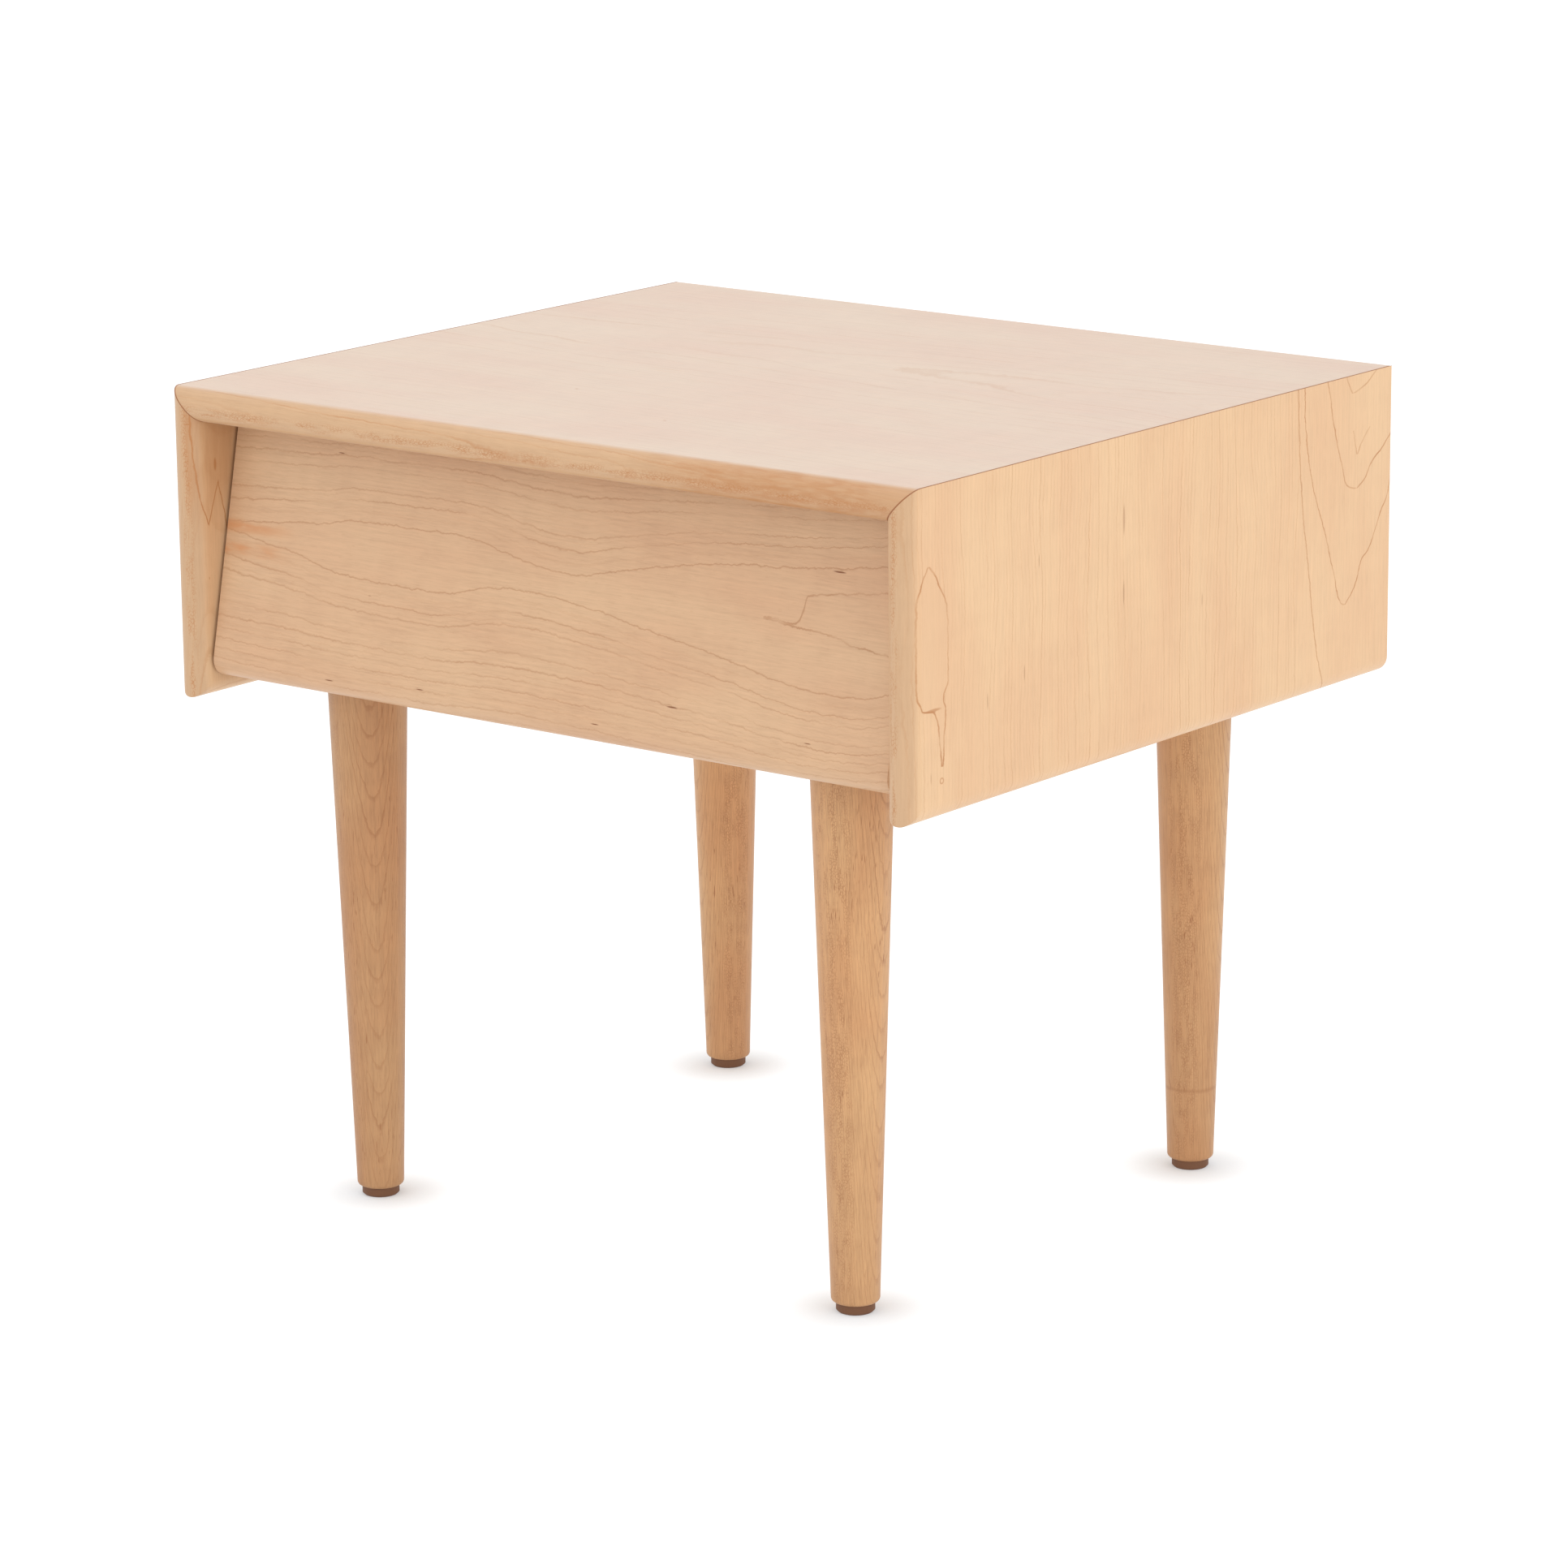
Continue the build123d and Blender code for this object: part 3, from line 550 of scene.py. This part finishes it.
def drawer_front_wood(drawer):
    """Grain that runs across the drawer front, round one long heart with an arrow at its right."""
    shader = Shader("maple_drawer_front")
    up = shader.y * math.sin(FRONT_LEAN) + shader.z * math.cos(FRONT_LEAN)
    deep = shader.y * math.cos(FRONT_LEAN) - shader.z * math.sin(FRONT_LEAN)
    grain = Grain(shader, shader.x, up, deep, 1.7)
    height = shader.z + grain.wander(3.5 * MM, 4.2 * MM)
    heart_low = ((-258, 420), (-227, 415), (-197, 411), (-155, 403), (-94, 402), (-20, 411), (23, 408))
    heart_low += ((82, 399), (139, 391), (176, 384), (213, 381), (258, 388))
    heart_high = ((-258, 424), (-187, 431), (-139, 437), (-79, 437), (-39, 432), (-14, 427), (13, 425))
    heart_high += ((39, 429), (76, 436), (113, 442), (185, 448), (258, 458))
    low_edge = shader.outline(shader.x, heart_low)
    high_edge = shader.outline(shader.x, heart_high)
    below = low_edge - height
    above = height - high_edge
    below = below + below.rise(0, 0.06) * 0.7 * (0.400 - low_edge)
    above = above + above.rise(0, 0.06) * 0.7 * (high_edge - 0.436)
    course = below.math("MAXIMUM", above)
    outside = course.rise(-1.2 * MM, -0.6 * MM)
    sure = course.bump_at(0.0, 2.5 * MM) * 0.85
    lines = late_wood(grain, course, drawer.ring_pitch, 1.1 * MM, sure)
    lines = lines.math("MAXIMUM", 0.28 * late_wood(grain, course, drawer.ring_pitch / 2.3, 0.8 * MM))
    lines = lines * outside
    arrow_low = ((158, 418), (168, 417), (179, 416), (201, 415), (226, 410), (258, 407))
    arrow_high = ((158, 418.6), (168, 418), (178, 417), (186, 426), (188, 433), (201, 436), (258, 443))
    arrow, in_arrow = pocket(shader, shader.x, height, arrow_low, arrow_high, 0.75 * MM)
    lines = lines.math("MAXIMUM", arrow)
    patchy = grain.stretched(0.022, 0.006, detail=3.0).rise(-0.16, 0.06, 0.25, 1.0)
    left_end = 1 - shader.x.rise(-0.238, -0.192)
    heart = shader.z.bump_at(0.4225, 6 * MM).math("MAXIMUM", shader.z.bump_at(0.4090, 6.5 * MM) * 1.1)
    heart = left_end * heart * patchy
    spots = ((-0.090, 0.345, 3.5 * MM), (-0.162, 0.341, 4 * MM), (0.045, 0.343, 3.5 * MM), (0.100, 0.360, 5 * MM))
    spots += ((0.199, 0.353, 3 * MM), (0.208, 0.449, 5.5 * MM), (-0.137, 0.394, 1.5 * MM), (-0.171, 0.474, 3 * MM))
    stains = (
        (drawer.heart_tone, heart.math("MINIMUM", 1.0)),
        (drawer.fleck_tone, flecks(shader.x, shader.z, spots, 0.12)),
    )
    return wood_surface(
        grain, drawer.front_tone, drawer.front_blush, drawer.line_tone, lines * 0.60, 1.05, stains
    )


def plain_wood(name, tone, line_tone, direction, seed):
    """Quiet, straight-grained maple for boards that seldom show. Direction is x or y."""
    shader = Shader(name)
    axes = {"x": (shader.x, shader.z, shader.y), "y": (shader.y, shader.z, shader.x)}
    along, across, deep = axes[direction]
    grain = Grain(shader, along, across, deep, seed)
    course = log_course(across, deep, 0.40, 0.12, along, 0.03) + grain.wander(6 * MM, 1.0 * MM)
    lines = late_wood(grain, course, 6.5 * MM, 1.0 * MM)
    blush = [0.93 * level for level in tone[:3]] + [1.0]
    return wood_surface(grain, tone, blush, line_tone, lines * 0.4, 0.8)


def plywood(drawer, line_tone):
    """Maple veneer over thin plies, whose edges show as stripes."""
    shader = Shader("maple_plywood")
    grain = Grain(shader, shader.x, shader.y, shader.z, 5.5)
    course = log_course(shader.y, shader.z, 0.03, 0.25, shader.x, 0.12) + grain.wander(14 * MM, 1.0 * MM)
    lines = late_wood(grain, course, 5 * MM, 1.2 * MM)
    plies = (shader.z / (1.3 * MM)).math("PINGPONG", 1.0).rise(0.3, 0.7)
    facing = shader.node("NewGeometry", output="Normal")
    upright = abs(shader.node("SeparateXYZ", inputs={0: facing}, output="Z"))
    on_edge = 1 - upright.rise(0.3, 0.6)
    stains = ((line_tone, plies * on_edge * 0.55),)
    blush = [0.94 * level for level in drawer.ply_tone[:3]] + [1.0]
    return wood_surface(grain, drawer.ply_tone, blush, line_tone, lines * 0.35, 0.8, stains, 0.5)


def leg_wood(legs, place, turn, seed, level):
    """One turned leg. Turn is the direction, from the front, in which its flat-sawn side looks.

    Level darkens the wood; the front left leg's low level is painted shade. The rear right leg has a thin brown band
    across its grain.
    """
    tone, blush = ([level * part for part in colour[:3]] + [1.0] for colour in (legs.tone, legs.blush))
    low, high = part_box(place + "_leg")
    middle = (low + high) / 2
    shader = Shader("maple_" + place + "_leg")
    from_x = shader.x - middle.x
    from_y = shader.y - middle.y
    outward = from_x * math.sin(turn) - from_y * math.cos(turn)
    sideways = from_x * math.cos(turn) + from_y * math.sin(turn)
    grain = Grain(shader, shader.z, sideways, outward, seed)
    course = log_course(sideways, outward, 0.0, 0.055, shader.z, -0.02)
    course = course + grain.wander(2.2 * MM, 0.5 * MM)
    lines = late_wood(grain, course, legs.ring_pitch, 0.24 * MM, sure=0.45)
    girth = (sideways * sideways + outward * outward).math("SQRT")
    quarter = (abs(sideways) / girth).rise(0.80, 0.97)
    rays = lace(shader, shader.z, outward, sideways, 1.05 * MM, quarter)
    dashes = grain.stretched(0.009, 0.0009, detail=1.0).rise(0.13, 0.25)
    patch = grain.stretched(0.10, 0.02, detail=1.0).rise(-0.05, 0.12, 0.25, 1.0)
    stains = [
        # Painted shade: the legs darken towards the foot, holding back the white floor's bounce light.
        (legs.line_tone, (1 - shader.z.rise(0.02, 0.20)) * 0.20),
        (legs.line_tone, rays * 0.52),
        (legs.line_tone, dashes * patch * 0.85),
    ]
    if place == "rear_right":
        waver = shader.z + 2 * MM * grain.stretched(0.02, 0.008)
        stains.append((legs.line_tone, waver.bump_at(0.053, 2.2 * MM) * 0.38))
    return wood_surface(grain, tone, blush, legs.line_tone, lines * 0.68, 1.7, stains, 0.45)


# Metal and plastic


def plated_steel(name, tone, roughness, direction):
    """Plated sheet or wire: fine rolling marks along one direction and a faint bloom."""
    shader = Shader(name)
    axes = {"y": (shader.y, shader.x, shader.z), "z": (shader.z, shader.x, shader.y)}
    along, across, deep = axes[direction]
    marks = shader.noise(along / 0.02, across / 0.0003, deep / 0.0003, detail=2.0)
    bloom = shader.noise(along / 0.02, across / 0.02, deep / 0.02, detail=3.0)
    colour = shader.shade(shader.mix(tone, tone, 0.0), 1 + 0.10 * marks + 0.14 * bloom)
    gloss = roughness + 0.12 * marks + 0.15 * bloom
    return shader.close(colour, gloss, marks, 0.02 * MM, **{"Metallic": 1.0})


def moulded_plastic(name, tone, roughness, grain_size):
    """Moulded plastic: a fine spark-eroded texture and slight flow marks."""
    shader = Shader(name)
    texture = shader.noise(*(axis / grain_size for axis in (shader.x, shader.y, shader.z)), detail=2.0)
    flow = shader.noise(*(axis / 0.012 for axis in (shader.x, shader.y, shader.z)), detail=2.0)
    colour = shader.shade(shader.mix(tone, tone, 0.0), 1 + 0.12 * texture + 0.10 * flow)
    return shader.close(colour, roughness + 0.15 * texture, texture, 0.04 * MM)


def dress(material, *nodes):
    """Gives CAD nodes a material."""
    for name in nodes:
        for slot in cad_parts[name].material_slots:
            slot.material = material


def pair(name):
    return ("right_" + name, "left_" + name)


# Operators


class SideTableStep(bpy.types.Operator):
    """One step of finishing the table."""

    bl_idname = "side_table.step"
    bl_label = "Step"
    bl_options = {"REGISTER", "UNDO"}


class FinishCase(SideTableStep):
    """Gives the mitred case its pale maple"""

    bl_idname = "side_table.finish_case"
    bl_label = "Finish the Case"

    def execute(self, context):
        case = context.scene.side_table_case
        dress(top_wood(case), "top_panel")
        dress(side_wood(case, 1), "right_side_panel")
        dress(side_wood(case, -1), "left_side_panel")
        inner = plain_wood("maple_inner", case.inner_tone, case.line_tone, "x", 9.4)
        dress(inner, "back_panel", "bottom_panel")
        return {"FINISHED"}


class FinishDrawer(SideTableStep):
    """Gives the drawer front, box and bottom their wood"""

    bl_idname = "side_table.finish_drawer"
    bl_label = "Finish the Drawer"

    def execute(self, context):
        drawer = context.scene.side_table_drawer
        dress(drawer_front_wood(drawer), "drawer_front")
        across = plain_wood("maple_box_across", drawer.box_tone, drawer.line_tone, "x", 2.6)
        dress(across, "drawer_box_front", "drawer_back")
        along = plain_wood("maple_box_along", drawer.box_tone, drawer.line_tone, "y", 4.2)
        dress(along, *pair("drawer_side"))
        dress(plywood(drawer, drawer.line_tone), "drawer_bottom", *pair("mitre_spline"))
        return {"FINISHED"}


class FinishLegs(SideTableStep):
    """Gives each leg its own grain, and the glides their brown"""

    bl_idname = "side_table.finish_legs"
    bl_label = "Finish the Legs"

    turns = {"front_left": 46, "front_right": 95, "rear_left": -30, "rear_right": 110}
    # Each leg's level darkens its wood; the front left leg's 0.82 is painted shade for the dimmer left of the table.
    levels = {"front_left": 0.82, "front_right": 0.98, "rear_left": 0.97, "rear_right": 0.91}

    def execute(self, context):
        legs = context.scene.side_table_legs
        for number, (place, turn) in enumerate(self.turns.items()):
            wood = leg_wood(legs, place, math.radians(turn), 1.3 * number, self.levels[place])
            dress(wood, place + "_leg")
        brown = moulded_plastic("brown_glide", legs.glide_tone, 0.62, 0.0006)
        dress(brown, *(place + "_glide" for place in self.turns))
        return {"FINISHED"}


class FinishHardware(SideTableStep):
    """Gives the slides, plates, screws, pads and clips their metal and plastic"""

    bl_idname = "side_table.finish_hardware"
    bl_label = "Finish the Hardware"

    def execute(self, context):
        hardware = context.scene.side_table_hardware
        rails = plated_steel("slide_steel", hardware.zinc_tone, 0.36, "y")
        for rail in ("fixed_rail", "middle_rail", "drawer_rail"):
            dress(rails, *pair(rail))
        plates = plated_steel("plate_steel", hardware.zinc_tone, 0.44, "y")
        dress(plates, *(place + "_leg_plate" for place in FinishLegs.turns))
        screws = plated_steel("screw_steel", hardware.screw_tone, 0.30, "z")
        for kind in ("front", "back", "clip", "rail", "plate", "glide"):
            dress(screws, kind + "_screws")
        dress(screws, "hanger_bolts")
        dress(moulded_plastic("nylon_pads", hardware.nylon_tone, 0.40, 0.0009), *pair("slide_pads"))
        dress(moulded_plastic("clip_plastic", hardware.clip_tone, 0.5, 0.0005), *pair("front_clip"))
        return {"FINISHED"}


class BuildStudio(SideTableStep):
    """Sets up the floor, the soft lights, the white surround and the camera"""

    bl_idname = "side_table.build_studio"
    bl_label = "Build the Studio"

    def execute(self, context):
        studio = context.scene.side_table_studio
        build_floor(studio)
        middle = Vector((0, 0, HEIGHT / 2))
        add_light("overhead_light", Vector((-0.3, -0.5, 2.6)), middle, 2.6, studio.overhead)
        add_light("right_light", Vector((2.8, -0.6, 1.3)), middle, 2.2, studio.right_fill)
        add_light("front_light", Vector((-0.9, -3.0, 1.4)), middle, 2.2, studio.front_fill)
        build_surround(context.scene, studio)
        build_camera(context.scene, studio)
        context.scene.view_settings.view_transform = "Standard"
        return {"FINISHED"}


def build_floor(studio):
    """A round white floor, far larger than the view."""
    mesh = bpy.data.meshes.new("studio_floor")
    count = 96
    reach = 40.0
    turns = [2 * math.pi * step / count for step in range(count)]
    ring = [(reach * math.cos(turn), reach * math.sin(turn), 0.0) for turn in turns]
    mesh.from_pydata(ring, [], [list(range(count))])
    floor = bpy.data.objects.new("studio_floor", mesh)
    bpy.context.scene.collection.objects.link(floor)
    shader = Shader("studio_floor")
    matt = shader.node("BsdfDiffuse", inputs={"Color": studio.floor_tone})
    glow = shader.node("Emission", inputs={"Color": (1, 1, 1, 1), "Strength": studio.floor_glow})
    # Painted shadow round each foot: the floor's glow is dimmed within a few centimetres of each glide, so the floor's
    # real shading shows there as a contact shadow.
    near = None
    for place in FinishLegs.turns:
        low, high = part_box(place + "_glide")
        far_x, far_y = (shader.x - (low.x + high.x) / 2, shader.y - (low.y + high.y) / 2)
        spot = 1 - (far_x * far_x + far_y * far_y).math("SQRT").rise(0.012, 0.060)
        near = spot if near is None else near.math("MAXIMUM", spot)
    share = studio.floor_share * (1 - 0.68 * near)
    both = shader.node("MixShader", inputs={0: share, 1: matt, 2: glow})
    mesh.materials.append(shader.finish(both))


def add_light(name, place, target, size, power):
    """A large square light at a place, facing a target."""
    light = bpy.data.lights.new(name, "AREA")
    light.size = size
    light.energy = power
    lamp = bpy.data.objects.new(name, light)
    lamp.location = place
    lamp.rotation_euler = (target - place).to_track_quat("-Z", "Y").to_euler()
    bpy.context.scene.collection.objects.link(lamp)


def build_surround(scene, studio):
    world = bpy.data.worlds.new("studio_surround")
    world.use_nodes = True
    background = world.node_tree.nodes["Background"]
    background.inputs["Color"].default_value = (1, 1, 1, 1)
    background.inputs["Strength"].default_value = studio.sky
    scene.world = world


def build_camera(scene, studio):
    data = bpy.data.cameras.new("table_camera")
    data.lens = studio.lens
    data.sensor_width = 36.0
    camera = bpy.data.objects.new("table_camera", data)
    aim = Euler((math.pi / 2 - studio.camera_dip, 0, studio.camera_turn)).to_matrix()
    camera.matrix_world = Matrix.Translation(studio.camera_place) @ (
        aim @ Matrix.Rotation(studio.camera_roll, 3, "Z")
    ).to_4x4()
    scene.collection.objects.link(camera)
    scene.camera = camera


STEPS = (FinishCase, FinishDrawer, FinishLegs, FinishHardware, BuildStudio)


class SideTablePanel(bpy.types.Panel):
    """The table's settings and steps in the sidebar."""

    bl_idname = "VIEW3D_PT_side_table"
    bl_label = "Side Table"
    bl_space_type = "VIEW_3D"
    bl_region_type = "UI"
    bl_category = "Side Table"

    def draw(self, context):
        for name, group in GROUPS.items():
            box = self.layout.box()
            for setting in group.__annotations__:
                box.prop(getattr(context.scene, name), setting)
        for step in STEPS:
            self.layout.operator(step.bl_idname)


def register():
    for kind in (*GROUPS.values(), *STEPS, SideTablePanel):
        bpy.utils.register_class(kind)
    for name, group in GROUPS.items():
        setattr(bpy.types.Scene, name, bpy.props.PointerProperty(type=group))


def unregister():
    for name in GROUPS:
        delattr(bpy.types.Scene, name)
    for kind in reversed((*GROUPS.values(), *STEPS, SideTablePanel)):
        bpy.utils.unregister_class(kind)


def main():
    register()
    for step in STEPS:
        operator = getattr(bpy.ops.side_table, step.bl_idname.split(".")[1])
        if operator() != {"FINISHED"}:
            raise RuntimeError(step.bl_label + " did not finish")


if __name__ == "__main__":
    main()
